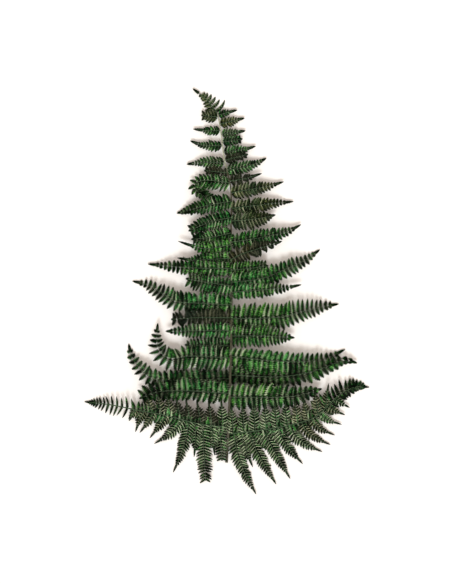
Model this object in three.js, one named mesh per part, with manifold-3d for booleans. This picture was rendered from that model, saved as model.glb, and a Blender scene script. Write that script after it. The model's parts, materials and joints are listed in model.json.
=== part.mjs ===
// A preserved fern frond lying flat on the surface it rests on.
// It grew as one leaf, so it is one body: a tapered rachis (the main stem of the leaf) with a cut end, a
// leafy tip, and the pinnae, the side branches that leave the rachis left and right. A pinna is one thin
// arched blade, cut to its midrib into leaflets, with a plain tail at its tip. The lowest pair carries long
// toothed branchlets on its lower side.
// Millimetres, +Z up, +Y from the cut end towards the tip, +X to the frond's right.

import * as THREE from "three";
import { mergeVertices } from "three/addons/utils/BufferGeometryUtils.js";
import Module from "manifold-3d";

const { lerp, clamp, smoothstep, degToRad } = THREE.MathUtils;

// Rachis: its route in plan from the cut end up, its girth, and how high it lies.
const RACHIS_ROUTE = [
  [0, 0], [2, 35], [4.5, 110], [5.5, 160], [5, 245], [4.5, 303], [-2.5, 334], [-6, 362], [-10, 386],
];
const RACHIS_RADIUS_FOOT = 1.5;
const RACHIS_RADIUS_TIP = 0.6;
const RACHIS_SIDES = 6;
const RACHIS_STEPS = 20;
const FLAT_RUN = 14; // stretch at the cut end that lies flat on the surface
const CREST_HEIGHT = 11; // height of the rachis where the frond arches most
const CREST_FROM = 120;
const CREST_TO = 240;
const FROND_TOP = 411;
const TOP_HEIGHT = 2.4;

// Arch of the whole frond: highest along the rachis, lower at the triangular outline.
const EDGE_HEIGHT = 2.2;
const EDGE_SHARE = 0.2;
const HALF_WIDTH_LOW = 165;
const HALF_WIDTH_TOP = 25;
const HALF_WIDTH_FROM = 60;
const HALF_WIDTH_SLOPE = 0.45;

// Tilt of each blade about its midrib, edge towards the tip up, so that neighbours lap like slats.
const SLAT_SLOPE = 0.26;
const SLAT_LIFT = 3;

// Blades
const LEAFLET_THICKNESS = 0.6;
const RIB_THICKNESS = 1.1;
const LOWEST = 0.6; // least height of a blade's middle over the surface, apart from the tips that rest on it
const RIB_HALF_WIDTH_FOOT = 0.8;
const RIB_HALF_WIDTH_TIP = 0.45;
const BARE_FOOT = 1.4; // midrib between the rachis and the first leaflet
const TAIL_SHARE = 0.13; // plain tail at the tip of a pinna
const TAIL_MIN = 5;
const TAIL_MAX = 9;
const TAIL_HALF_WIDTH = 0.9;
const PITCH_BASE = 3.9; // leaflet spacing, and how it grows with the pinna's length
const PITCH_GROWTH = 0.0233;
const REACH_BASE = 4.5; // longest leaflet, and how it grows with the pinna's length and down the frond
const REACH_BY_LENGTH = 0.055;
const REACH_BY_FOOT = 0.024;
const REACH_MAX = 17;
const LEAN_FOOT = degToRad(88); // angle between a leaflet and the midrib, next to the rachis
const LEAN_OUT = degToRad(73); // and further out along the pinna
const LEAN_UNTIL = 0.25;
const LEAFLET_FULL = 17; // leaflets of this length and more bulge, and shorter ones are plain points
const LEAFLET_BELLY = 0.58; // where along its length a leaflet bulges towards the foot of the pinna
const LEAFLET_BULGE = 0.5; // how far, as a share of the spacing
const LEAFLET_HOOK = 0.12; // how far its point hooks towards the tip of the pinna, as a share of the spacing
const BEND_SHARE = 0.5; // longest leaflet inside a bend, as a share of the bend's radius
const REST_FROM = 0.72; // where along a pinna its tip starts to sink to the surface

// Long toothed branchlets on the lower side of the lowest pair.
const BRANCHLET_SPACING = 2; // one branchlet to this many leaflet spaces
const BRANCHLET_SWEEP = 0.03; // drift towards the tip of the pinna, as a share of the length
const BRANCHLET_NECK = 3;
const BRANCHLET_RIB = 0.6;
const TOOTH_PITCH = 5.4;
const TOOTH_REACH = 7.5;

// The pinnae from the lowest up: the height of the foot on the rachis, and the points [x, y] that the midrib
// passes on its way to the tip. Those with rests sink to the surface at their tip. The lowest pair has longer
// leaflets on the side of the tip (reachUp), and branchlets on the other, from the first leaflet space that
// holds one, with the length and the angle to the midrib in degrees of each.
const RIGHT_PINNAE = [
  {
    foot: 32,
    route: [[42, 37], [74, 44], [98, 54], [118, 70], [131, 78], [147, 84], [157, 80]],
    rests: true,
    reachUp: 26,
    branchlets: {
      first: 0,
      reach: [73, 66, 61, 51, 47, 45, 36, 30, 23],
      lean: [77, 75, 76, 73, 72, 75, 80, 82, 82],
    },
  },
  { foot: 73, route: [[60, 73], [80, 75], [105, 82]] },
  { foot: 97, route: [[59, 95], [91, 100], [112, 107], [135, 114], [145, 109]] },
  { foot: 118, route: [[48, 113], [86, 112], [112, 116], [131, 125]], rests: true },
  { foot: 140, route: [[45, 140], [78, 137]] },
  { foot: 159, route: [[62, 161], [85, 167], [107, 172], [124, 175]], rests: true },
  { foot: 188, route: [[32, 190], [72, 194], [82, 198]] },
  { foot: 199, route: [[39, 202], [55, 209], [68, 217], [84, 229], [104, 236]], rests: true },
  { foot: 212, route: [[24, 214], [46, 217]] },
  { foot: 224, route: [[15, 229], [42, 238], [61, 244]] },
  { foot: 243, route: [[20, 245], [43, 249], [68, 255], [82, 263]] },
  { foot: 266, route: [[36, 269], [54, 273]] },
  { foot: 280, route: [[30, 283], [55, 286], [74, 288]], rests: true },
  { foot: 297, route: [[26, 301], [48, 305], [63, 310]] },
  { foot: 310, route: [[21, 313], [39, 319]] },
  { foot: 322, route: [[17, 325], [33, 330], [44, 336]], rests: true },
  { foot: 333, route: [[24, 340]] },
  { foot: 342, route: [[11, 344], [23, 346], [32, 350]] },
  { foot: 353, route: [[18, 357]] },
  { foot: 362, route: [[10, 364], [21, 366]] },
  { foot: 373, route: [[8, 377], [20, 380]] },
  { foot: 383, route: [[12, 389]] },
];
const LEFT_PINNAE = [
  {
    foot: 40,
    route: [[-24, 42], [-68, 53], [-96, 58], [-128, 64], [-157, 67]],
    rests: true,
    reachUp: 18,
    branchlets: { first: 1, reach: [36, 63, 61, 38, 31, 27, 21], lean: [102, 103, 88, 84, 84, 82, 80] },
  },
  { foot: 77, route: [[-51, 80], [-78, 78], [-96, 71]] },
  { foot: 93, route: [[-51, 91], [-83, 94], [-97, 106], [-105, 118], [-108, 131]], rests: true },
  { foot: 116, route: [[-40, 118], [-67, 118], [-81, 131], [-76, 154]] },
  { foot: 129, route: [[-29, 130], [-66, 130]] },
  { foot: 146, route: [[-29, 146], [-71, 144]] },
  { foot: 160, route: [[-34, 160], [-64, 158]] },
  { foot: 174, route: [[-29, 176], [-56, 178], [-68, 185], [-87, 196], [-104, 200]], rests: true },
  { foot: 195, route: [[-23, 199], [-45, 203]] },
  { foot: 214, route: [[-44, 215], [-87, 219]], rests: true },
  { foot: 225, route: [[-24, 224], [-43, 224], [-52, 231]] },
  { foot: 240, route: [[-22, 236], [-38, 239], [-52, 247]] },
  { foot: 253, route: [[-18, 248], [-39, 246]] },
  { foot: 270, route: [[-18, 265], [-42, 255]] },
  { foot: 288, route: [[-22, 283], [-55, 275]], rests: true },
  { foot: 308, route: [[-20, 311], [-33, 310], [-40, 302], [-36, 293]] },
  { foot: 319, route: [[-25, 322]] },
  { foot: 330, route: [[-23, 331], [-44, 329]], rests: true },
  { foot: 349, route: [[-27, 350], [-40, 355]] },
  { foot: 366, route: [[-22, 366], [-37, 368]] },
  { foot: 381, route: [[-28, 383]] },
];
const TIP = {
  foot: 384, route: [[-22, 399], [-37, 411]], bare: 2, reachLeft: 7, reachRight: 10.5, pitch: 4, rests: true,
};

const LEAF_GREEN = new THREE.MeshStandardMaterial({ color: 0x1f4a26, roughness: 0.55, metalness: 0 });

// The rachis in plan, and what it measures at a height y up the frond.
const rachisCurve = new THREE.CatmullRomCurve3(RACHIS_ROUTE.map(([x, y]) => new THREE.Vector3(x, y, 0)));
const rachisPoints = rachisCurve.getSpacedPoints(400);

function rachisAt(y) {
  const next = rachisPoints.findIndex((p) => p.y >= y);
  if (next <= 0) return next ? rachisPoints.at(-1).x : rachisPoints[0].x;
  const [a, b] = [rachisPoints[next - 1], rachisPoints[next]];
  return lerp(a.x, b.x, (y - a.y) / (b.y - a.y));
}

const rachisRadius = (y) => lerp(RACHIS_RADIUS_FOOT, RACHIS_RADIUS_TIP, clamp(y / FROND_TOP, 0, 1));

// Height of the rachis axis: flat at the cut end, up to the crest, and down to the tip.
function crown(y) {
  const flatHeight = rachisRadius(y) * Math.cos(Math.PI / RACHIS_SIDES);
  const rise = 1 - (1 - clamp((y - FLAT_RUN) / (CREST_FROM - FLAT_RUN), 0, 1)) ** 3;
  const fall = smoothstep(y, CREST_TO, FROND_TOP);
  return lerp(flatHeight, CREST_HEIGHT, rise) - fall * (CREST_HEIGHT - TOP_HEIGHT);
}

// Height of the frond's common arch at a point in plan.
function archHeight(x, y) {
  const top = crown(Math.max(y, RIGHT_PINNAE[0].foot));
  const edge = EDGE_HEIGHT + EDGE_SHARE * top;
  const slope = Math.max(y - HALF_WIDTH_FROM, 0) * HALF_WIDTH_SLOPE;
  const halfWidth = Math.max(HALF_WIDTH_LOW - slope, HALF_WIDTH_TOP);
  const share = clamp(Math.abs(x - rachisAt(y)) / halfWidth, 0, 1);
  return lerp(top, edge, share * share);
}

// How far a blade's tilt lifts a point that lies that far from its midrib, towards the tip of the frond.
const slatLift = (across) => SLAT_LIFT * Math.tanh((SLAT_SLOPE * across) / SLAT_LIFT);

// A thin closed blade: points in plan with a middle height and a thickness, and the triangles between them.
// Both faces have the same triangles, so they never cross.
class Blade {
  points = [];
  triangles = [];

  point(x, y, z, thickness) {
    this.points.push([x, y, z, thickness]);
    return this.points.length - 1;
  }

  // Triangles between corners listed in order round a convex outline, turned to face up.
  fan(...corners) {
    for (let i = 1; i + 1 < corners.length; i++) {
      const [a, b, c] = [corners[0], corners[i], corners[i + 1]];
      const [p, q, r] = [a, b, c].map((n) => this.points[n]);
      const area = (q[0] - p[0]) * (r[1] - p[1]) - (q[1] - p[1]) * (r[0] - p[0]);
      this.triangles.push(area > 0 ? [a, b, c] : [a, c, b]);
    }
  }

  geometry() {
    const count = this.points.length;
    const top = this.points.map(([x, y, z, t]) => [x, y, z + t / 2]);
    const under = this.points.map(([x, y, z, t]) => [x, y, z - t / 2]);
    const edges = new Map();
    for (const [a, b, c] of this.triangles) {
      for (const [from, to] of [[a, b], [b, c], [c, a]]) {
        if (!edges.delete(`${to},${from}`)) edges.set(`${from},${to}`, [from, to]);
      }
    }
    const index = [];
    for (const [a, b, c] of this.triangles) index.push(a, b, c, a + count, c + count, b + count);
    for (const [from, to] of edges.values()) {
      index.push(from, from + count, to + count, from, to + count, to);
    }
    const made = new THREE.BufferGeometry();
    made.setAttribute("position", new THREE.Float32BufferAttribute([...top, ...under].flat(), 3));
    made.setIndex(index);
    return made;
  }
}

// A midrib: a smooth route in plan from a point on the rachis axis, read by the distance along it.
class Midrib {
  constructor(start, route, towardsTip, rests) {
    const points = [start, ...route].map(([x, y]) => new THREE.Vector3(x, y, 0));
    this.curve = new THREE.CatmullRomCurve3(points);
    this.length = this.curve.getLength();
    this.towardsTip = towardsTip; // 1 where the tip of the frond is to the left, -1 to the right, 0 ahead
    this.rests = rests;
  }

  at(s) {
    const share = clamp(s / this.length, 0, 1);
    const point = this.curve.getPointAt(share);
    const along = this.curve.getTangentAt(share);
    return { point, along, left: new THREE.Vector3(-along.y, along.x, 0) };
  }

  // Radius of the bend at s, positive where it turns to the left.
  bendRadius(s) {
    const reach = 4;
    const before = this.at(s - reach).along;
    const after = this.at(s + reach).along;
    const turn = Math.asin(clamp(before.x * after.y - before.y * after.x, -1, 1));
    return (2 * reach) / (Math.abs(turn) < 1e-3 ? 1e-3 : turn);
  }

  // Middle height of the blade over a plan point that lies that far to the left of the midrib at s.
  height(x, y, s, toLeft, thickness) {
    const lift = this.towardsTip ? slatLift(toLeft * this.towardsTip) : -slatLift(Math.abs(toLeft));
    const arched = Math.max(archHeight(x, y) + lift, LOWEST);
    if (!this.rests) return arched;
    const sink = smoothstep(s / this.length, REST_FROM, 1);
    return Math.max(lerp(arched, LEAFLET_THICKNESS / 2, sink), thickness / 2);
  }
}

// Share of the longest leaflet at a share of the way along a pinna: broad near the foot, small at the tail.
function leafletProfile(share) {
  const swell = lerp(0.85, 1, smoothstep(share, 0, 0.15));
  return swell * lerp(1, 0.2, clamp((share - 0.25) / 0.75, 0, 1) ** 2.6);
}

// Adds a point to the blade at a distance along the midrib and out from it along a leaning direction.
function leaningPoint(blade, rib, s, side, out, lean, thickness) {
  const { point, along, left } = rib.at(s);
  const ahead = out * Math.cos(lean);
  const aside = out * Math.sin(lean) * side;
  const x = point.x + along.x * ahead + left.x * aside;
  const y = point.y + along.y * ahead + left.y * aside;
  return blade.point(x, y, rib.height(x, y, s, aside, thickness), thickness);
}

// One leaflet between two points of the midrib's edge: a long one bulges towards the foot of the pinna.
function addLeaflet(blade, rib, side, from, to, reach, lean) {
  const pitch = to.s - from.s;
  const middle = (from.s + to.s) / 2;
  const place = (aside, share) =>
    leaningPoint(blade, rib, middle + aside * pitch, side, reach * share, lean, LEAFLET_THICKNESS);
  const tip = place(LEAFLET_HOOK, 1);
  if (reach < LEAFLET_FULL) blade.fan(to.index, from.index, tip);
  else blade.fan(to.index, from.index, place(-LEAFLET_BULGE, LEAFLET_BELLY), tip);
}

// One long branchlet between two points of the midrib's edge: its own rib, toothed on both sides to its tip.
function addBranchlet(blade, rib, side, from, to, reach, lean) {
  const middle = (from.s + to.s) / 2;
  const teeth = Math.max(3, Math.round((reach - BRANCHLET_NECK) / TOOTH_PITCH));
  const step = (reach - BRANCHLET_NECK) / (teeth + 1);
  const place = (out, aside, thickness) => {
    const drift = BRANCHLET_SWEEP * reach * (out / reach) ** 2;
    return leaningPoint(blade, rib, middle + drift + aside, side, out, lean, thickness);
  };
  let [near, far] = [-1, 1].map((way) => place(BRANCHLET_NECK, way * BRANCHLET_RIB, RIB_THICKNESS));
  blade.fan(from.index, to.index, far, near);
  for (let i = 0; i < teeth; i++) {
    const out = BRANCHLET_NECK + (i + 1) * step;
    const share = 1 - i / teeth;
    const rib2 = BRANCHLET_RIB * lerp(0.5, 1, share);
    const [nextNear, nextFar] = [-1, 1].map((way) => place(out, way * rib2, RIB_THICKNESS));
    const tooth = TOOTH_REACH * lerp(0.3, 1, share ** 0.7);
    const [tipNear, tipFar] = [-1, 1].map((way) => place(out - step * 0.2, way * tooth, LEAFLET_THICKNESS));
    blade.fan(near, far, nextFar, nextNear);
    blade.fan(nextNear, near, tipNear);
    blade.fan(nextFar, far, tipFar);
    [near, far] = [nextNear, nextFar];
  }
  blade.fan(near, far, place(reach, 0, LEAFLET_THICKNESS));
}

// A whole pinna: the midrib strip from the axis of the rachis to its tail, with leaflets or branchlets on
// both edges from the first distance along it.
function pinnaBlade(rib, first, { pitch, reachLeft, reachRight, branchletSide = 0, branchlets }) {
  const blade = new Blade();
  const tail = clamp(rib.length * TAIL_SHARE, TAIL_MIN, TAIL_MAX);
  const count = Math.max(2, Math.round((rib.length - tail - first) / pitch));
  const spacing = (rib.length - tail - first) / count;
  const edgePair = (s, half = lerp(RIB_HALF_WIDTH_FOOT, RIB_HALF_WIDTH_TIP, s / rib.length)) => {
    return [1, -1].map((side) => ({
      s,
      index: leaningPoint(blade, rib, s, side, half, Math.PI / 2, RIB_THICKNESS),
    }));
  };
  const strip = (a, b) => blade.fan(a[0].index, a[1].index, b[1].index, b[0].index);
  let here = edgePair(0);
  let next = edgePair(first);
  strip(here, next);
  for (let i = 0; i < count; i++) {
    here = next;
    next = edgePair(first + (i + 1) * spacing);
    strip(here, next);
    const share = (here.at(0).s + next.at(0).s) / 2 / rib.length;
    [1, -1].forEach((side, edge) => {
      const slot = branchlets ? (i - branchlets.first) / BRANCHLET_SPACING : -1;
      if (side === branchletSide && slot >= 0 && slot < branchlets.reach.length) {
        if (!Number.isInteger(slot)) return;
        const lean = degToRad(branchlets.lean[slot]);
        addBranchlet(blade, rib, side, here[edge], next[edge], branchlets.reach[slot], lean);
        return;
      }
      const bend = rib.bendRadius(here[edge].s + spacing / 2) * side;
      const inside = bend > 0 ? BEND_SHARE * bend : Infinity;
      const reach = Math.min((side > 0 ? reachLeft : reachRight) * leafletProfile(share), inside);
      const lean = lerp(LEAN_FOOT, LEAN_OUT, smoothstep(share, 0, LEAN_UNTIL));
      addLeaflet(blade, rib, side, here[edge], next[edge], reach, lean);
    });
  }
  const swollen = edgePair(rib.length - tail / 2, TAIL_HALF_WIDTH);
  strip(next, swollen);
  const tip = leaningPoint(blade, rib, rib.length, 1, 0, Math.PI / 2, LEAFLET_THICKNESS);
  blade.fan(swollen[0].index, swollen[1].index, tip);
  return blade.geometry();
}

function makePinna(towardsTip, { foot, route, rests = false, reachUp, branchlets }) {
  const rib = new Midrib([rachisAt(foot), foot], route, towardsTip, rests);
  const grown = REACH_BASE + REACH_BY_LENGTH * rib.length + REACH_BY_FOOT * (FROND_TOP - foot);
  const common = Math.min(grown, REACH_MAX);
  const up = reachUp ?? common;
  return pinnaBlade(rib, rachisRadius(foot) + BARE_FOOT, {
    pitch: PITCH_BASE + PITCH_GROWTH * rib.length,
    reachLeft: towardsTip > 0 ? up : common,
    reachRight: towardsTip > 0 ? common : up,
    branchletSide: branchlets ? -towardsTip : 0,
    branchlets,
  });
}

function makeTip() {
  const rib = new Midrib([rachisAt(TIP.foot), TIP.foot], TIP.route, 0, TIP.rests);
  return pinnaBlade(rib, TIP.bare, TIP);
}

// The rachis: a tapered round bar, bent along its route, with a flat side down.
function makeRachis() {
  const bar = new THREE.CylinderGeometry(1, 1, 1, RACHIS_SIDES, RACHIS_STEPS, false, Math.PI / RACHIS_SIDES);
  const position = bar.getAttribute("position");
  const length = rachisCurve.getLength();
  for (let i = 0; i < position.count; i++) {
    const step = Math.round((position.getY(i) + 0.5) * RACHIS_STEPS);
    const share = step < 2 ? (step * FLAT_RUN) / length : step / RACHIS_STEPS;
    const point = rachisCurve.getPointAt(share);
    const along = rachisCurve.getTangentAt(share);
    const radius = rachisRadius(point.y);
    const aside = position.getX(i) * radius;
    const up = position.getZ(i) * radius;
    position.setXYZ(i, point.x + along.y * aside, point.y - along.x * aside, crown(point.y) + up);
  }
  bar.deleteAttribute("normal");
  bar.deleteAttribute("uv");
  return mergeVertices(bar);
}

// Everything grows together, with the foot of each midrib sunk in the rachis.
const wasm = await Module();
wasm.setup();

function solid(geometry) {
  const vertProperties = new Float32Array(geometry.getAttribute("position").array);
  const triVerts = new Uint32Array(geometry.getIndex().array);
  return new wasm.Manifold(new wasm.Mesh({ numProp: 3, vertProperties, triVerts }));
}

const grown = [
  makeTip(),
  ...RIGHT_PINNAE.map((pinna) => makePinna(1, pinna)),
  ...LEFT_PINNAE.map((pinna) => makePinna(-1, pinna)),
].reduce((frond, blade) => frond.add(solid(blade)), solid(makeRachis()));

const { vertProperties, triVerts } = grown.getMesh();
const leaf = new THREE.BufferGeometry();
leaf.setAttribute("position", new THREE.BufferAttribute(vertProperties, 3));
leaf.setIndex(new THREE.BufferAttribute(triVerts, 1));
leaf.computeBoundingBox();

// The origin lies on the surface, under the middle of the frond's outline.
const middle = leaf.boundingBox.getCenter(new THREE.Vector3());
leaf.translate(-middle.x, -middle.y, 0);
leaf.computeVertexNormals();

const mesh = new THREE.Mesh(leaf, LEAF_GREEN);
mesh.name = "fern_frond";
const frond = new THREE.Group();
frond.add(mesh);

export default frond;
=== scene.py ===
# %% [markdown]
# # A preserved fern frond
# A fern frond is one leaf. Its main stem, the rachis, carries pairs of side branches, the pinnae. Each
# pinna has a thin midrib with two combs of leaflets, and ends in a plain dark tail. This lesson loads the
# plain solid of the frond as a fixed frame, and then grows every leaflet as a small surface worked out
# with numpy.

# %% Load the frame
import json
import bpy
import numpy as np
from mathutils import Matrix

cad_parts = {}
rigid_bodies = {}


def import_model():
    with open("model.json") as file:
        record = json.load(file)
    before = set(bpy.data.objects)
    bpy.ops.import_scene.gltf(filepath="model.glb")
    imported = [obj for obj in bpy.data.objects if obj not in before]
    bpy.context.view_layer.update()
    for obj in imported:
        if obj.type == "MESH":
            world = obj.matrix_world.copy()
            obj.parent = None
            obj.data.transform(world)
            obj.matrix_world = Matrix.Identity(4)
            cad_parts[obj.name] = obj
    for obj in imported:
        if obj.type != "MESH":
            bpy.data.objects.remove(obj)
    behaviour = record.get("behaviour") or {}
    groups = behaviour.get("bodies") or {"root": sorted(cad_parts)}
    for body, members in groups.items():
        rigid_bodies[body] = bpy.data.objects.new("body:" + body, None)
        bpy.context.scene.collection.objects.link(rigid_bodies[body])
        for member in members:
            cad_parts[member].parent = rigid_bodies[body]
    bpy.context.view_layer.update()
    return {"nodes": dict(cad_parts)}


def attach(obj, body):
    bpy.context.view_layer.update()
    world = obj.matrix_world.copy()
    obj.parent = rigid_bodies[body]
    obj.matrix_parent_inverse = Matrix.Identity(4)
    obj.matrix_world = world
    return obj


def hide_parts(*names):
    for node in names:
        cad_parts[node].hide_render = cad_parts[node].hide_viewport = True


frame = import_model()
MM = 0.001  # the frond is worked out in millimetres, and Blender counts in metres

leaf_solid = frame["nodes"]["fern_frond"]
corners = np.empty(3 * len(leaf_solid.data.vertices), np.float32)
leaf_solid.data.vertices.foreach_get("co", corners)
corners = corners.reshape(-1, 3) / MM
STALK_HALF = 2.0  # the cut end is looked for this far to either side of x = 0
stalk = corners[np.abs(corners[:, 0]) < STALK_HALF]
CUT_END_Y = stalk[:, 1].min()  # the cut end of the stalk is y = 0 of the drawing below
print("cut end of the stalk at y =", round(float(CUT_END_Y), 2), "mm")

# %% [markdown]
# ## Camera and studio
# The frond lies on a pale table and is seen from straight above. A large soft light stands behind its cut
# end, so that every pinna throws a soft shadow towards the tip of the frond. The room around it glows a
# little warm, which is why the shadows are beige. A sun lamp with a wide angle gives the same light all
# over the table.

# %% Camera over the table
IMAGE_HIGH = 584  # the image is 452 wide and 584 high
MM_PER_PIXEL = 1.1
LENS = 85.0
SENSOR = 36.0
LEAF_LEVEL = 6.0  # the height above the table at which one pixel is MM_PER_PIXEL
HALF_PIXEL = MM_PER_PIXEL / 2

camera = bpy.data.objects.new("camera", bpy.data.cameras.new("camera"))
bpy.context.collection.objects.link(camera)
camera.data.lens = LENS
camera.data.sensor_width = SENSOR
distance = LENS / SENSOR * IMAGE_HIGH * MM_PER_PIXEL + LEAF_LEVEL
camera.location = (-HALF_PIXEL * MM, -HALF_PIXEL * MM, distance * MM)
bpy.context.scene.camera = camera
bpy.context.scene.view_settings.view_transform = "Standard"
print("camera height", round(distance), "mm")

# %% Light and table
KEY_ELEVATION = np.radians(53.0)
KEY_STRENGTH = 2.1
KEY_SPREAD = np.radians(24.0)
KEY_TURN = np.radians(-6.0)
KEY_COLOUR = (0.95, 1.0, 1.0)
ROOM_GLOW = (0.85, 0.755, 0.68)
TABLE_HALF = 6.0  # in metres
TABLE_DROP = 0.2  # in millimetres
TABLE_COLOUR = (0.9, 0.885, 0.875)
TABLE_ROUGHNESS, TABLE_GLOSS = 0.8, 0.1

key = bpy.data.objects.new("key_light", bpy.data.lights.new("key_light", "SUN"))
bpy.context.collection.objects.link(key)
key.data.energy = KEY_STRENGTH
key.data.angle = KEY_SPREAD
key.data.color = KEY_COLOUR
key.rotation_euler = (np.pi / 2 - KEY_ELEVATION, 0.0, KEY_TURN)

world = bpy.data.worlds.new("room")
bpy.context.scene.world = world
world.use_nodes = True
world.node_tree.nodes["Background"].inputs["Color"].default_value = (*ROOM_GLOW, 1.0)

table = bpy.data.meshes.new("table")
table_corners = [(x * TABLE_HALF, y * TABLE_HALF, 0) for x, y in ((-1, -1), (1, -1), (1, 1), (-1, 1))]
table.from_pydata(table_corners, [], [(0, 1, 2, 3)])
table_top = bpy.data.objects.new("table", table)
table_top.location.z = -TABLE_DROP * MM
bpy.context.collection.objects.link(table_top)
paper = bpy.data.materials.new("table_paper")
paper.use_nodes = True
paper_shader = paper.node_tree.nodes["Principled BSDF"]
paper_shader.inputs["Base Color"].default_value = (*TABLE_COLOUR, 1.0)
paper_shader.inputs["Roughness"].default_value = TABLE_ROUGHNESS
paper_shader.inputs["Specular IOR Level"].default_value = TABLE_GLOSS
table.materials.append(paper)
print("key light and a table", 2 * TABLE_HALF, "m wide")

# %% [markdown]
# ## How the frond lies
# A cut frond lies on the table like a low roof. It is highest along the rachis and comes down to the
# table at the tips of the longer pinnae. One height function for the whole frond does this, so that
# neighbours lie at matching heights. Each pinna is also tilted about its own midrib, with the edge
# towards the tip of the frond up, like a slat of a blind, and so the pinnae lap over each other.

# %% The roof of the frond
RACHIS = [(0, 0), (2, 35), (4.5, 110), (5.5, 160), (5, 245), (4.5, 303), (-2.5, 334), (-6, 362), (-10, 386)]
RACHIS_RADIUS = (1.5, 0.5)
FLAT_SHARE = np.cos(np.pi / 6)  # height of a six-sided stem's axis over its flat side, in radii
FLAT_RUN = 14.0
CREST_HEIGHT, CREST_FROM, CREST_TO = 11.0, 120.0, 240.0
FROND_TOP, TOP_HEIGHT = 411.0, 2.4
LOWEST_FOOT = 32.0
EDGE_HEIGHT, EDGE_SHARE = 2.2, 0.2
ROOF_HALF, ROOF_NARROWING, ROOF_WIDE_TO, ROOF_LEAST = 165.0, 0.45, 60.0, 25.0
SLAT_SLOPE, SLAT_LIFT = 0.26, 3.0
TUCK_DROP = 4.0


def smooth_route(points, per_span=24):
    """A smooth curve in plan through the given points: a centripetal Catmull-Rom spline, which is a cubic
    between each two points, with the slopes taken from the square roots of the distances to the
    neighbours."""
    p = np.asarray(points, float)
    p = np.vstack([2 * p[0] - p[1], p, 2 * p[-1] - p[-2]])
    a, b, c, d = (q[:, None, :] for q in (p[:-3], p[1:-2], p[2:-1], p[3:]))
    ab, bc, cd = (np.linalg.norm(r - q, axis=2, keepdims=True) ** 0.5 for q, r in ((a, b), (b, c), (c, d)))
    leave = ((b - a) / ab - (c - a) / (ab + bc) + (c - b) / bc) * bc
    arrive = ((c - b) / bc - (d - b) / (bc + cd) + (d - c) / cd) * bc
    u = np.linspace(0, 1, per_span, endpoint=False)[None, :, None]
    square = 3 * (c - b) - 2 * leave - arrive
    cube = 2 * (b - c) + leave + arrive
    curve = b + leave * u + square * u**2 + cube * u**3
    return np.vstack([curve.reshape(-1, 2), p[-2]])


def smooth_step(x, low, high):
    """0 below low, 1 above high, and the cubic 3u^2 - 2u^3 between."""
    u = np.clip((x - low) / (high - low), 0, 1)
    return u * u * (3 - 2 * u)


rachis_path = smooth_route(RACHIS)


def rachis_at(y):
    """Where the rachis is, across the frond, at a height y up the frond."""
    return np.interp(y, rachis_path[:, 1], rachis_path[:, 0])


def rachis_radius(y):
    """The rachis tapers evenly from the cut end to the top."""
    return np.interp(y, (0, FROND_TOP), RACHIS_RADIUS)


def crown(y):
    """Height of the rachis: flat on the table at the cut end, a cubic rise to the crest, a smooth fall to
    the tip."""
    low = rachis_radius(y) * FLAT_SHARE
    rise = 1 - (1 - np.clip((y - FLAT_RUN) / (CREST_FROM - FLAT_RUN), 0, 1)) ** 3
    fall = smooth_step(y, CREST_TO, FROND_TOP)
    return low + (CREST_HEIGHT - low) * rise - fall * (CREST_HEIGHT - TOP_HEIGHT)


def roof(x, y):
    """Height of the frond's roof at a point in plan: from the crown down to the eaves with the square of
    the share of the half width, which narrows towards the tip."""
    top = crown(np.maximum(y, LOWEST_FOOT))
    eaves = EDGE_HEIGHT + EDGE_SHARE * top
    half = np.maximum(ROOF_HALF - ROOF_NARROWING * np.maximum(y - ROOF_WIDE_TO, 0), ROOF_LEAST)
    share = np.clip(np.abs(x - rachis_at(y)) / half, 0, 1)
    return top + (eaves - top) * share**2


crest, left_end = float(roof(5, 180)), float(roof(-157, 67))
print("roof over the crest", round(crest, 1), "mm, at the left end", round(left_end, 1), "mm")


# %% [markdown]
# ## A midrib
# A midrib is a line in plan that starts on the rachis. Everything that grows on it asks it for a place, a
# heading and a height. Where a pinna rests on the table, its outer part sinks there smoothly.

# %% A midrib read by the distance along it
BEND_WINDOW = 4.0
STRAIGHT = 1e-3  # a turn smaller than this, in radians, counts as straight
TUCKED_TO, CLEAR_FROM = 0.4, 0.65
LEAST_HEIGHT, REST_HEIGHT, SINK_FROM = 0.6, 0.4, 0.72


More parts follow.
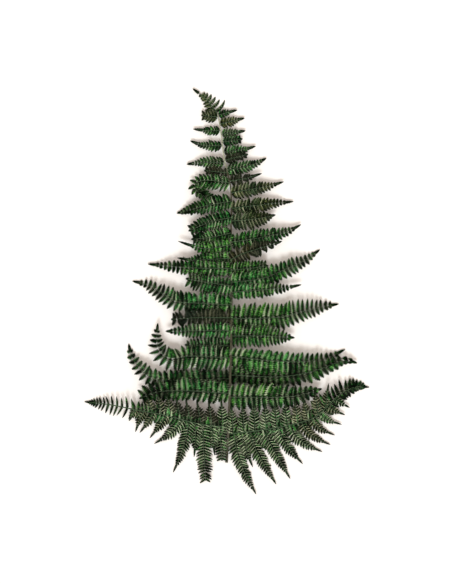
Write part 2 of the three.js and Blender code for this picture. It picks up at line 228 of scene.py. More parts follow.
class Midrib:
    """A smooth route in plan with its arc length, heading and bend. tip_side is 1 where the tip of the
    frond lies to the left of the way out, -1 where it lies to the right, and 0 where it lies ahead. A
    midrib that grows on another one has that one as its parent, with the base (x, y, heading and share
    along) where it leaves it."""

    def __init__(self, points, tip_side, rests=False, parent=None, base=None, tilt=0.0, tucked=0.0):
        self.path = smooth_route(points)
        steps = np.linalg.norm(np.diff(self.path, axis=0), axis=1)
        self.s = np.concatenate([[0], np.cumsum(steps)])
        self.length = self.s[-1]
        slope = np.gradient(self.path, self.s, axis=0)
        self.heading = np.unwrap(np.arctan2(slope[:, 1], slope[:, 0]))
        self.tip_side, self.rests = tip_side, rests
        self.parent, self.base, self.tilt = parent, base, tilt
        self.tucked = tucked

    def at(self, s):
        """x, y and heading at a distance s along the midrib."""
        x, y, heading = (np.interp(s, self.s, q) for q in (*self.path.T, self.heading))
        return x, y, heading

    def bend(self, s):
        """Radius of the bend at s, positive where it turns to the left."""
        ahead, behind = (np.interp(s + d, self.s, self.heading) for d in (BEND_WINDOW, -BEND_WINDOW))
        turn = ahead - behind
        return 2 * BEND_WINDOW / np.where(np.abs(turn) < STRAIGHT, STRAIGHT, turn)

    def hidden(self, share):
        """How far a tucked midrib lies under its neighbours: wholly along its inner part, not at all past
        that."""
        return self.tucked * (1 - smooth_step(share, TUCKED_TO, CLEAR_FROM))

    def height(self, x, y, base):
        """The roof at that point, lifted or lowered by the slat tilt: a tanh of the distance from the
        midrib. Where it is tucked it is not tilted, and lies lower. A midrib with a parent lies at the
        parent's height there, tilted evenly about its own line."""
        to_left = -(x - base[0]) * np.sin(base[2]) + (y - base[1]) * np.cos(base[2])
        if self.parent:
            return self.parent.height(x, y, self.base) + self.tilt * to_left
        across = to_left * self.tip_side if self.tip_side else -np.abs(to_left)
        hidden = self.hidden(base[3])
        slat = SLAT_LIFT * np.tanh(SLAT_SLOPE * across / SLAT_LIFT) * (1 - hidden) - TUCK_DROP * hidden
        z = np.maximum(roof(x, y) + slat, LEAST_HEIGHT)
        sink = smooth_step(base[3], SINK_FROM, 1) if self.rests else 0.0
        return z + (REST_HEIGHT - z) * sink


# %% [markdown]
# ## A leaflet
# A leaflet is a small thin blade. It is broad where it joins the midrib, runs almost parallel, and closes
# in a blunt point that hooks towards the tip of the pinna. Its sides are notched into lobes. A ring of
# four points carried along the leaflet's own curved axis gives a closed blade: two on its sharp edges,
# one over the vein and one under it. Leaflets with the same number of lobes are made at once, as one
# array with an axis for the leaflets, one for the stations and one for the ring.

# %% The blade of a leaflet
RING = np.array([-1, 0, 1, 0])[None, None, :]  # places across the blade, the last one under it
UNDER = np.array([0, 0, 0, 1])
BLADE_THICKNESS = 0.35
ARCH, VEIN_HOLLOW, VEIN_WIDTH = 0.1, 0.06, 0.25
LOBE_PUSH = 0.35
CLOSING_POWER, POINT_WIDTH = 0.75, 0.05


def blades(rib, s, side, length, half, lean, hook, roll, droop, lobes, depth, taper=2.6):
    """Closed blades that leave a midrib at the distances s. The axis turns evenly from the angle lean to
    lean - hook, so it is a circular arc. The half width is half times (1 - t^taper)^0.75, and drops by
    depth at evenly spaced notches between lobes, which are pushed forward. The height is the midrib's
    own, with a rolled and rounded section and a tip that droops with t^2. Returns points, across and
    along as leaflet x station x ring arrays."""
    stations = np.arange(2 * lobes + 1)
    t, v = (stations / (2 * lobes))[None, :, None], RING
    notch = np.where(stations % 2, 1.0, 1 - depth)[None, :, None]
    each = (s, length, half, lean, hook, roll, droop)
    each = [np.broadcast_to(q, np.shape(s)).astype(float)[:, None, None] for q in each]
    s, length, half, lean, hook, roll, droop = each
    x0, y0, heading = rib.at(s)
    width = half * notch * np.maximum((1 - t**taper) ** CLOSING_POWER, POINT_WIDTH)
    t = t + LOBE_PUSH / lobes * np.abs(v) * (1 - t)
    start = heading + side * lean
    turn = side * hook
    now = start - turn * t
    x = x0 + length * (np.sin(start) - np.sin(now)) / turn - v * width * np.sin(now)
    y = y0 + length * (np.cos(now) - np.cos(start)) / turn + v * width * np.cos(now)
    z = rib.height(x, y, (x0, y0, heading, s / rib.length))
    z = z + width * (v * roll + ARCH * (1 - v**2) - VEIN_HOLLOW * np.exp(-((v / VEIN_WIDTH) ** 2)))
    z = np.maximum(z - droop * length * t**2, BLADE_THICKNESS) - UNDER * BLADE_THICKNESS
    points = np.stack(np.broadcast_arrays(x, y, z), axis=-1)
    return points, np.broadcast_to(0.5 + 0.5 * v, points.shape[:3]), np.broadcast_to(t, points.shape[:3])


# %% [markdown]
# ## From rings to a mesh
# Leaflets, midribs and the rachis are all rings of points carried along a path, so one function turns any
# stack of rings into a closed mesh. It joins neighbouring rings with four-sided faces and closes both
# ends. Each vertex keeps what the finish needs to know: how far across and along its blade it lies, and
# the leaflet's own tone.

# %% Collect rings, then make one mesh
class Rings:
    """Collects stacks of rings (body x station x ring x 3) and makes one closed mesh of them. Each body
    has a tone, a share of painted edge highlight, a share that darkens towards the tip (dry, and painted
    shade where it goes under the next pinna), and its number of lobes."""

    def __init__(self):
        self.points, self.uv, self.quads, self.caps, self.slots, self.sharp = [], [], [], [], [], []
        self.traits = {"tone": [], "pale": [], "dry": [], "lobes": []}
        self.count = 0

    def add(self, points, across, along, slot, knife=False, **traits):
        """Adds closed bodies. knife keeps the two edges of each blade sharp."""
        bodies, stations, ring = points.shape[:3]
        index = self.count + np.arange(bodies * stations * ring).reshape(bodies, stations, ring)
        here, there = index[:, :-1], index[:, 1:]
        quads = np.stack([here, there, np.roll(there, -1, 2), np.roll(here, -1, 2)], -1).reshape(-1, 4)
        self.quads.append(quads)
        self.caps.extend(np.concatenate([index[:, 0], index[:, -1, ::-1]]).tolist())
        self.slots.append((slot, len(quads), 2 * bodies))
        self.points.append(points.reshape(-1, 3))
        self.uv.append(np.stack([across, along], -1).reshape(-1, 2))
        for trait, values in self.traits.items():
            value = np.reshape(traits.get(trait, 0.0), (-1, 1, 1))
            values.append(np.broadcast_to(value, (bodies, stations, ring)).ravel())
        edge = np.zeros((bodies, stations, ring), bool)
        edge[:, :, [0, 2]] = knife
        self.sharp.append(edge.ravel())
        self.count += bodies * stations * ring

    def make(self, name, finishes):
        """One object at the origin, with its place in its mesh, in metres."""
        points = np.concatenate(self.points)
        points = (points + (0, CUT_END_Y, 0)) * MM
        quads = np.concatenate(self.quads)
        mesh = bpy.data.meshes.new(name)
        mesh.from_pydata(points, [], quads.tolist() + self.caps)
        sides = [np.full(count, slot) for slot, count, _ in self.slots]
        ends = [np.full(count, slot) for slot, _, count in self.slots]
        slot = np.concatenate(sides + ends)
        mesh.polygons.foreach_set("material_index", slot.astype(np.int32))
        mesh.polygons.foreach_set("use_smooth", np.ones(len(mesh.polygons), bool))
        loop = np.empty(len(mesh.loops), np.int32)
        mesh.loops.foreach_get("vertex_index", loop)
        uv = np.concatenate(self.uv)[loop].astype(np.float32)
        mesh.uv_layers.new(name="blade").data.foreach_set("uv", uv.ravel())
        for trait, values in self.traits.items():
            kept = mesh.attributes.new(trait, "FLOAT", "POINT")
            kept.data.foreach_set("value", np.concatenate(values).astype(np.float32))
        edges = np.empty(2 * len(mesh.edges), np.int32)
        mesh.edges.foreach_get("vertices", edges)
        knife = np.concatenate(self.sharp)[edges.reshape(-1, 2)].all(1)
        mesh.edges.foreach_set("use_edge_sharp", knife)
        for finish in finishes:
            mesh.materials.append(finish)
        piece = bpy.data.objects.new(name, mesh)
        bpy.context.collection.objects.link(piece)
        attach(piece, "root")
        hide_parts("fern_frond")
        return piece


# %% [markdown]
# ## Midribs and tails
# A midrib is a thin rod on the blades, thick at the rachis and fine at the tail. It is a small ring swept
# along the route. The tail is one more blade, set straight ahead at the end of the midrib, with a few
# shallow lobes.

# %% A midrib rod
ROD_ANGLES = np.linspace(0, 2 * np.pi, 6, endpoint=False)
ROD_LIFT = 0.1


def set_aside(x, y, heading, aside, z):
    """Points at the distances aside from a path, square to its heading in plan, at the heights z."""
    aside_x = x[:, None] - aside * np.sin(heading)[:, None]
    aside_y = y[:, None] + aside * np.cos(heading)[:, None]
    return np.stack([aside_x, aside_y, z], -1)


def rod(rib, s, radius, lift):
    """A six-sided section of that radius at each distance s, square to the midrib in plan and lifted over
    its blade."""
    x, y, heading = rib.at(s)
    z = np.maximum(rib.height(x, y, (x, y, heading, s / rib.length)) + lift, radius)
    aside = radius[:, None] * np.cos(ROD_ANGLES)
    up = radius[:, None] * np.sin(ROD_ANGLES)
    points = set_aside(x, y, heading, aside, z[:, None] + up)[None, :, ::-1]
    across = np.broadcast_to(ROD_ANGLES[::-1] / (2 * np.pi), points.shape[:3])
    return points, across, np.broadcast_to((s / rib.length)[:, None], points.shape[1:3])[None]


def lay_rod(rings, rib, stop, radii, stations):
    """Adds a rod from the foot of a midrib as far as stop. It thins evenly between the two radii, and has
    the second finish of its piece."""
    s = np.linspace(0, stop, stations)
    rings.add(*rod(rib, s, np.interp(s, (0, rib.length), radii), ROD_LIFT), 1)


# %% [markdown]
# ## Finishes
# Preserved fern is dyed deep green and has little gloss. Each leaflet has its own tone, and some pinnae
# are olive. The brown finish is partly real brown and partly painted shade for pinnae that lie low in
# shadow. Edges get a painted highlight, and the leaflets get painted shade in their notches, at their
# foot and along the edge under the next leaflet. Tips dry out dark, with more painted shade where they go
# under the next pinna. All of that is worked out in shader nodes from the blade's own UV map, which runs
# across and along the leaflet, from the tone kept on each vertex, and from noise.

# %% Node helpers
def new_finish(name, roughness, specular):
    """An empty procedural finish, a function that adds a node with its inputs set by name (or i and a
    number), and a function that links a result to the shader."""
    finish = bpy.data.materials.new(name)
    finish.use_nodes = True
    tree = finish.node_tree
    shader = tree.nodes["Principled BSDF"]
    shader.inputs["Roughness"].default_value = roughness
    shader.inputs["Specular IOR Level"].default_value = specular

    def node(kind, settings=(), **inputs):
        """Adds a node of that kind. An input that is a socket is linked, and any other is set."""
        made = tree.nodes.new(kind)
        for key_name, value in dict(settings).items():
            setattr(made, key_name, value)
        for socket, value in inputs.items():
            which = int(socket[1:]) if socket[1:].isdigit() else socket.replace("_", " ")
            target = made.inputs[which]
            if isinstance(value, bpy.types.NodeSocket):
                tree.links.new(value, target)
            else:
                target.default_value = value
        return made

    def link(source, socket):
        """Links a result to one of the shader's inputs."""
        tree.links.new(source, shader.inputs[socket])

    return finish, node, link


def maths(node, operation, a, b=0.0, clamp=False):
    """One step of arithmetic between two numbers or sockets."""
    return node("ShaderNodeMath", {"operation": operation, "use_clamp": clamp}, i0=a, i1=b).outputs[0]


def band(node, value, start, slope):
    """0 up to start, then rising with that slope to 1."""
    return maths(node, "MULTIPLY", maths(node, "SUBTRACT", value, start), slope, clamp=True)


def blend_colour(node, share, a, b):
    """Colour a where share is 0 and colour b where it is 1."""
    made = node("ShaderNodeMix", {"data_type": "RGBA"}, i0=share, i6=a, i7=b)
    return made.outputs[2]


def ramp(node, value, stops):
    """A colour ramp through (place, colour) stops."""
    made = node("ShaderNodeValToRGB", Fac=value)
    elements = made.color_ramp.elements
    while len(elements) < len(stops):
        elements.new(0.5)
    for element, (place, colour) in zip(elements, stops):
        element.position = place
        element.color = (*colour, 1.0)
    return made.outputs[0]


# %% The leaf finish
LEAF_ROUGHNESS, LEAF_GLOSS = 0.5, 0.02
ROUGH_LEAST, ROUGH_SPREAD = 0.4, 0.2
# scale and detail of four noises: slow regions, clouds, a mottle the size of a lobe, which partly
# stands in for the light and shade of the lobes, and a fine grain
REGION, CLOUD, MOTTLE, GRAIN = (26.0, 1.0), (90.0, 3.0), (650.0, 2.0), (1400.0, 2.0)
CLOUD_STRENGTH, MOTTLE_STRENGTH, NOISE_MIDDLE = 0.7, 2.4, 0.5
# painted shade: in the notches, along the edge under the next leaflet, and at the foot of each leaflet
NOTCH_PAINTED_SHADE, RIM_PAINTED_SHADE, FOOT_PAINTED_SHADE = -1.4, -1.3, -1.6
RIM_TO, RIM_SLOPE, FOOT_TO = 0.6, 1.2, 0.3
WAVE_LEAN, HIGHLIGHT_LAG = 2.2, 1.5  # in radians
# bands: where each begins, and how fast it rises
# painted shade in the notches, painted highlights on the edges of lobes in patches and along the rolled-up
# edge, and slow yellowing
NOTCH_SHADE_BAND, LOBE_HIGHLIGHT_FRONT, LOBE_HIGHLIGHT_EDGE = (0.2, 1.5), (0.55, 3.0), (0.2, 2.5)
YELLOWING, HIGHLIGHT_PATCHES, ROLLED_EDGE_HIGHLIGHT = (0.35, 3.3), (0.42, 6.0), (0.87, 16.0)
BLUER, YELLOWER = (0.85, 1.0, 1.35, 1.0), (1.35, 1.0, 0.75, 1.0)
LOBE_HIGHLIGHT_STRENGTH, DRY_POWER = 0.6, 3.0
MOTTLE_BUMP, MOTTLE_DEPTH = 0.35, 0.0006


def leaf_finish(name, stops, highlight_colour, dry_and_shaded_tip):
    """Tone, clouds and a random mottle the size of a lobe, which partly stands in for the light and shade
    of the lobes, add up to a shade value. Painted shade lowers it towards the edge that lies under the next
    leaflet, at the foot of the blade and in the notches between lobes, and the value picks a colour from
    the stops. Slow noise makes it bluer or yellower. The other edge, which is rolled up, gets a painted
    highlight, and so does the edge of each lobe. The share that darkens grows with the third power of the
    way along: tips that dry dark, and painted shade on tips that go under the next pinna."""
    finish, node, link = new_finish(name, LEAF_ROUGHNESS, LEAF_GLOSS)

    def trait(kept):
        """What each vertex keeps under that name."""
        return node("ShaderNodeAttribute", {"attribute_name": kept}).outputs["Fac"]

    def wave(lag):
        """A cosine with one turn to a lobe, which comes later towards both edges of the blade."""
        turns = maths(node, "MULTIPLY", maths(node, "MULTIPLY", trait("lobes"), along), 2 * np.pi)
        lean = maths(node, "ADD", maths(node, "MULTIPLY", across, WAVE_LEAN), lag)
        return maths(node, "COSINE", maths(node, "SUBTRACT", turns, lean))

    uv = node("ShaderNodeUVMap", {"uv_map": "blade"}).outputs[0]
    parts = node("ShaderNodeSeparateXYZ", i0=uv)
    along = parts.outputs[1]
    doubled = maths(node, "MULTIPLY", parts.outputs[0], 2.0)
    across = maths(node, "ABSOLUTE", maths(node, "SUBTRACT", doubled, 1.0))
    place = node("ShaderNodeTexCoord").outputs["Object"]
    region, cloud, mottle, grain = (
        node("ShaderNodeTexNoise", Vector=place, Scale=scale, Detail=detail).outputs["Fac"]
        for scale, detail in (REGION, CLOUD, MOTTLE, GRAIN)
    )
    lobed = maths(node, "MINIMUM", trait("lobes"), 1.0)
    # painted shade in the notches between lobes
    notch = maths(node, "MULTIPLY", lobed, band(node, wave(0.0), *NOTCH_SHADE_BAND))
    # painted shade along the edge that lies under the next leaflet
    rim_shade_mask = maths(node, "SUBTRACT", RIM_TO, parts.outputs[0])
    rim_shade_mask = maths(node, "MULTIPLY", rim_shade_mask, RIM_SLOPE, clamp=True)
    # painted shade at the foot of each leaflet, by the midrib
    foot = maths(node, "SUBTRACT", FOOT_TO, along, clamp=True)
    shade = trait("tone")
    varied = ((cloud, CLOUD_STRENGTH, NOISE_MIDDLE), (mottle, MOTTLE_STRENGTH, NOISE_MIDDLE))
    painted_shades = ((notch, NOTCH_PAINTED_SHADE, 0.0), (rim_shade_mask, RIM_PAINTED_SHADE, 0.0), (foot, FOOT_PAINTED_SHADE, 0.0))
    for part, strength, middle in varied + painted_shades:
        change = maths(node, "MULTIPLY", maths(node, "SUBTRACT", part, middle), strength)
        shade = maths(node, "ADD", shade, change)
    colour = ramp(node, shade, stops)
    hue = blend_colour(node, band(node, region, *YELLOWING), BLUER, YELLOWER)
    colour = node("ShaderNodeVectorMath", {"operation": "MULTIPLY"}, i0=colour, i1=hue).outputs[0]
    # painted highlight on the edge of each lobe, gathered in patches by the clouds
    highlight_front = band(node, wave(HIGHLIGHT_LAG), *LOBE_HIGHLIGHT_FRONT)
    lobe_highlight = maths(node, "MULTIPLY", highlight_front, band(node, across, *LOBE_HIGHLIGHT_EDGE))
    lobe_highlight = maths(node, "MULTIPLY", lobe_highlight, lobed)
    lobe_highlight = maths(node, "MULTIPLY", lobe_highlight, band(node, cloud, *HIGHLIGHT_PATCHES))
    # painted highlight along the rolled-up edge
    rolled_highlight = band(node, parts.outputs[0], *ROLLED_EDGE_HIGHLIGHT)
    # the painted highlight: the rolled-up edge as far as the leaflet's pale share allows, and lobe edges
    # everywhere
    edge = maths(node, "MULTIPLY", maths(node, "MAXIMUM", rolled_highlight, lobe_highlight), trait("pale"))
    edge = maths(node, "MAXIMUM", edge, maths(node, "MULTIPLY", lobe_highlight, LOBE_HIGHLIGHT_STRENGTH))
    colour = blend_colour(node, edge, colour, (*highlight_colour, 1.0))
    # tips that dry dark, with painted shade on the tips that go under the next pinna
    dry = maths(node, "MULTIPLY", maths(node, "POWER", along, DRY_POWER), trait("dry"), clamp=True)
    colour = blend_colour(node, dry, colour, (*dry_and_shaded_tip, 1.0))
    link(colour, "Base Color")
    link(maths(node, "ADD", ROUGH_LEAST, maths(node, "MULTIPLY", grain, ROUGH_SPREAD)), "Roughness")
    bump = node("ShaderNodeBump", Height=mottle, Strength=MOTTLE_BUMP, Distance=MOTTLE_DEPTH)
    link(bump.outputs[0], "Normal")
    return finish


# %% Three leaf colours
GREENS = [(0.0, (0.0005, 0.002, 0.0005)), (0.25, (0.0012, 0.01, 0.0015)), (0.5, (0.004, 0.052, 0.007)),
          (0.75, (0.022, 0.17, 0.022)), (1.0, (0.1, 0.37, 0.075))]
OLIVES = [(0.0, (0.002, 0.004, 0.001)), (0.25, (0.005, 0.011, 0.003)), (0.5, (0.014, 0.034, 0.009)),
          (0.75, (0.04, 0.075, 0.022)), (1.0, (0.12, 0.16, 0.07))]
# the brown finish is partly real brown and partly painted shade for pinnae that lie low in shadow
SHADED_BROWNS = [(0.0, (0.002, 0.003, 0.001)), (0.5, (0.01, 0.018, 0.008)), (1.0, (0.04, 0.052, 0.027))]
# painted highlight colours, for the rolled-up edge and the lobe edges of each finish
GREEN_PAINTED_HIGHLIGHT = (0.56, 0.66, 0.43)
OLIVE_PAINTED_HIGHLIGHT = (0.48, 0.5, 0.32)
BROWN_PAINTED_HIGHLIGHT = (0.2, 0.2, 0.14)
# colour of dry tips, also used as painted shade on tips that go under the next pinna
DRY_AND_SHADED_TIP = (0.003, 0.008, 0.003)
green_leaf = leaf_finish("fern_green", GREENS, GREEN_PAINTED_HIGHLIGHT, DRY_AND_SHADED_TIP)
olive_leaf = leaf_finish("fern_olive", OLIVES, OLIVE_PAINTED_HIGHLIGHT, DRY_AND_SHADED_TIP)
shaded_brown_leaf = leaf_finish("fern_shaded_brown", SHADED_BROWNS, BROWN_PAINTED_HIGHLIGHT, DRY_AND_SHADED_TIP)

# %% The midrib and rachis finish
STEM_ROUGHNESS, STEM_GLOSS = 0.5, 0.3
STREAKS, STREAK_DETAIL = (26.0, 9.0, 1.0), 4.0
STREAK_BAND = (0.35, 2.6)
STREAK_RUNS = 12.0  # the UV map of the rachis runs from 0 to this along it
TOP_BAND, TOP_SHARE = (9.9, 2.5), 0.85
STREAK_BUMP, STREAK_DEPTH = 0.4, 0.0003


def stem_finish(name, dark, pale, top=None):
    """Fine streaks along the stem: noise stretched along the UV map's long direction, between a dark and
    a pale colour. With top given, the stem turns to that colour over its upper end."""
    finish, node, link = new_finish(name, STEM_ROUGHNESS, STEM_GLOSS)
    uv = node("ShaderNodeUVMap", {"uv_map": "blade"}).outputs[0]
    stretched = node("ShaderNodeVectorMath", {"operation": "MULTIPLY"}, i0=uv, i1=STREAKS)
    noise = node("ShaderNodeTexNoise", Vector=stretched.outputs[0], Scale=1.0, Detail=STREAK_DETAIL)
    streak = noise.outputs["Fac"]
    colour = blend_colour(node, band(node, streak, *STREAK_BAND), (*dark, 1.0), (*pale, 1.0))
    if top:
        along = node("ShaderNodeSeparateXYZ", i0=uv).outputs[1]
        high = maths(node, "MULTIPLY", band(node, along, *TOP_BAND), TOP_SHARE)
        colour = blend_colour(node, high, colour, (*top, 1.0))
    link(colour, "Base Color")
    bump = node("ShaderNodeBump", Height=streak, Strength=STREAK_BUMP, Distance=STREAK_DEPTH)
    link(bump.outputs[0], "Normal")
    return finish


MIDRIB_DARK, MIDRIB_PALE = (0.006, 0.02, 0.006), (0.05, 0.11, 0.04)
RACHIS_DARK, RACHIS_PALE, RACHIS_TOP = (0.012, 0.011, 0.005), (0.09, 0.085, 0.045), (0.4, 0.42, 0.3)
midrib_finish = stem_finish("midrib_green", MIDRIB_DARK, MIDRIB_PALE)
rachis_finish = stem_finish("rachis_olive_brown", RACHIS_DARK, RACHIS_PALE, RACHIS_TOP)
print("finishes:", [m.name for m in bpy.data.materials])

# %% [markdown]
# ## Combs and tails
# No two leaflets of a real frond are alike. A comb starts from typical values, and a seeded random draw
# moves each leaflet a little away from them, so that the frond comes out the same on every run.

# %% A comb of leaflets
INNER_FILL, USUAL_FILL = 0.86, 0.5  # half width of a leaflet in pitches, at the rachis and further out
USUAL_NOTCH = 0.25
UPRIGHT, INNER_LEAN, END_LEAN = 88, 8, 14  # degrees from the midrib, and how much less further out
INNER_BAND, END_BAND = (0, 0.5), (0.75, 1)  # shares of the way along the midrib, as in the next line
FILL_BAND, OUTER_BAND = (0.35, 0.75), (0.4, 0.9)
HOOK = 10  # degrees
ROLL, DROOP = (0.24, 0.07), (0.03, 0.04)  # the usual value, and how far leaflets differ
EVEN, UNEVEN = 3, 12  # degrees by which leaflets differ, the second on brown pinnae
REACH_SPREAD, FILL_SPREAD, TONE_SPREAD = 0.06, 0.08, 0.13
INNER_LIGHT, OUTER_SHADE = 0.1, 0.3
BEND_SHARE = 0.9  # the longest leaflet on the inner side of a bend, in radii of the bend
# how often and how strongly a leaflet's edge gets the painted highlight
FULL_HIGHLIGHT_SHARE, PARTIAL_HIGHLIGHT, HIGHLIGHT_SPREAD, LEAST_HIGHLIGHT = 0.15, 0.5, 0.12, 0.1
# how far tips darken: dry tips, and on leaflets that point away from the tip of the frond also painted
# shade, as they go under the next pinna
DRY_LEAST, DRY_AND_SHADED_MOST = 0.45, 0.85
LOBED_BY_REACH = ((9, 7), (6, 5), (0, 4))  # leaflets longer than the first number have that many lobes


def comb(rings, rib, side, s, pitch, reach, tone, pale, rng, depth=USUAL_NOTCH, lean=UPRIGHT, jitter=EVEN,
         slot=0, fill=(INNER_FILL, USUAL_FILL)):
    """One comb of leaflets on one side of a midrib, with small seeded differences between them. fill is
    their half width in pitches, at the rachis and at the outer end. Outer leaflets are darker. Tips dry
    dark, and those of leaflets that point away from the tip of the frond get more painted shade, as they go
    under the next pinna. Some leaflet edges get a painted highlight. Long leaflets have more lobes."""
    n, share = len(s), s / rib.length
    bend = rib.bend(s) * side
    reach = np.minimum(reach, np.where(bend > 0, BEND_SHARE * bend, np.inf))
    reach = reach * rng.normal(1, REACH_SPREAD, n)
    filled = fill[0] + (fill[1] - fill[0]) * smooth_step(share, *FILL_BAND)
    filled = filled * rng.normal(1, FILL_SPREAD, n)
    leans = lean - INNER_LEAN * smooth_step(share, *INNER_BAND) - END_LEAN * smooth_step(share, *END_BAND)
    leans = leans + rng.normal(0, jitter, n)
    shape = dict(s=s, length=reach, half=filled * pitch, hook=np.radians(rng.normal(HOOK, 2 * jitter, n)),
                 lean=np.radians(leans), roll=rng.normal(*ROLL, n), droop=rng.normal(*DROOP, n))
    outer = smooth_step(share, *OUTER_BAND)
    chance = rng.random(n)
    # leaflets that point away from the tip of the frond go under the next pinna: their tips get painted
    # shade
    shaded = DRY_AND_SHADED_MOST if side == -rib.tip_side else DRY_LEAST
    tones = tone + INNER_LIGHT - OUTER_SHADE * outer + rng.normal(0, TONE_SPREAD, n)
    # painted edge highlight of each leaflet, none on the outer ones
    partly = rng.normal(PARTIAL_HIGHLIGHT, HIGHLIGHT_SPREAD, n)
    edges = np.select([chance < FULL_HIGHLIGHT_SHARE * pale, chance < pale], [1.0, partly], LEAST_HIGHLIGHT)
    traits = dict(tone=tones, dry=shaded + (DRY_AND_SHADED_MOST - shaded) * outer, pale=edges * (1 - outer))
    longer = [reach > least for least, _ in LOBED_BY_REACH]
    lobes = np.select(longer, [count for _, count in LOBED_BY_REACH])
    for _, count in reversed(LOBED_BY_REACH):
        chosen = lobes == count
        if chosen.any():
            picked = {key_name: value[chosen] for key_name, value in shape.items()}
            kept = {key_name: value[chosen] for key_name, value in traits.items()}
            leaflets = blades(rib, side=side, lobes=count, depth=depth, **picked)
            rings.add(*leaflets, slot, True, lobes=count, **kept)


# %% A tail
TAIL_HALF, TAIL_LAP = 1.9, 1.15
TAIL_HOOK, TAIL_LOBES, TAIL_NOTCH, TAIL_TAPER = 0.02, 5, 0.2, 2.4
TAIL_ALONG = 0.85  # the whole tail is coloured like the last part of a leaflet


def tail_blade(rings, rib, tail, half, tone, slot=0):
    """The bare tail of a midrib: a narrow blade straight ahead, with shallow lobes, dry and dark."""
    long = tail * TAIL_LAP
    start = np.array([rib.length - long])
    points, across, along = blades(rib, start, 1, long, half, lean=0.0, hook=TAIL_HOOK, roll=0.0, droop=0.0,
                                   lobes=TAIL_LOBES, depth=TAIL_NOTCH, taper=TAIL_TAPER)
    along = TAIL_ALONG + (1 - TAIL_ALONG) * along
    rings.add(points, across, along, slot, True, tone=tone, dry=DRY_AND_SHADED_MOST)


# %% A leafy midrib
FOOT_REACH, SWELL, SWELL_TO = 0.85, 0.15, 0.15  # shorter leaflets at the rachis, and where that ends
FULL_TO = 0.25
LONG_TAIL, BLUNT_TAIL = 5, 4  # pinnae with a short tail keep broad leaflets to the end
OUTER_FILL, CLOSE_FILL = 0.54, 0.74
FINE_END, BLUNT_END = 0.2, 0.7  # length of the last leaflet, as a share of the longest
TAPER_POWER = 3
HIGH_FILL, HIGH_REACH, HIGH_LEAN, HIGH_TAPER = 0.24, 0.2, 20, 1.4  # changes near the tip of the frond
# painted shade on leaflets tucked under their neighbours; the tail is a darker tone of its own
HIDDEN_PAINTED_SHADE, TAIL_SHADE = 0.3, 0.3
PINNA_ROD, PINNA_STATIONS = (0.55, 0.3), 16


def reach_share(share, end, power):
    """Share of the longest leaflet: nearly full along the inner quarter, then falling to end with a power
    of the way past it."""
    swell = FOOT_REACH + SWELL * smooth_step(share, 0, SWELL_TO)
    return swell * (1 - (1 - end) * np.clip((share - FULL_TO) / (1 - FULL_TO), 0, 1) ** power)


def leafy_midrib(rings, rib, first, pitch, reaches, tail, tone, pale, rng, depth, jitter, high):
    """Combs of leaflets on both sides of a midrib, its rod, and its tail. A tail of 4 mm or less gives a
    blunt end. Where the midrib is tucked under its neighbours, the leaflets get painted shade and lose
    their painted edge highlight. high runs from 0 to 1 near the tip of the frond, where the leaflets are
    narrower and a little longer, lean further forward and taper sooner."""
    count = max(2, round((rib.length - tail - first) / pitch))
    spacing = (rib.length - tail - first) / count
    s = first + (np.arange(count) + 0.5) * spacing
    share = s / (rib.length - tail)
    hidden = rib.hidden(s / rib.length)
    end = FINE_END if tail > BLUNT_TAIL else BLUNT_END
    fill = (INNER_FILL - HIGH_FILL * high, CLOSE_FILL if tail <= LONG_TAIL else OUTER_FILL)
    shares = reach_share(share, end, TAPER_POWER - HIGH_TAPER * high)
    for side, reach in ((rib.tip_side, reaches[0]), (-rib.tip_side, reaches[1])):
        long = reach * (1 + HIGH_REACH * high) * shares
        comb(rings, rib, side, s, spacing, long, tone - HIDDEN_PAINTED_SHADE * hidden, pale * (1 - hidden), rng,
             depth, lean=UPRIGHT - HIGH_LEAN * high, jitter=jitter, fill=fill)
    tail_blade(rings, rib, tail, TAIL_HALF, tone - TAIL_SHADE)
    lay_rod(rings, rib, rib.length - 0.5 * tail, PINNA_ROD, PINNA_STATIONS)


# %% [markdown]
# ## The pinnae
# Each row gives where the foot of a pinna sits on the rachis, the points that its midrib passes, how long
# its leaflets are, whether its tip rests on the table, and its tone. Leaflets stand closer together on
# short pinnae. Low on the frond their notches are deeper. Near its tip they are narrower and lean
# forward.

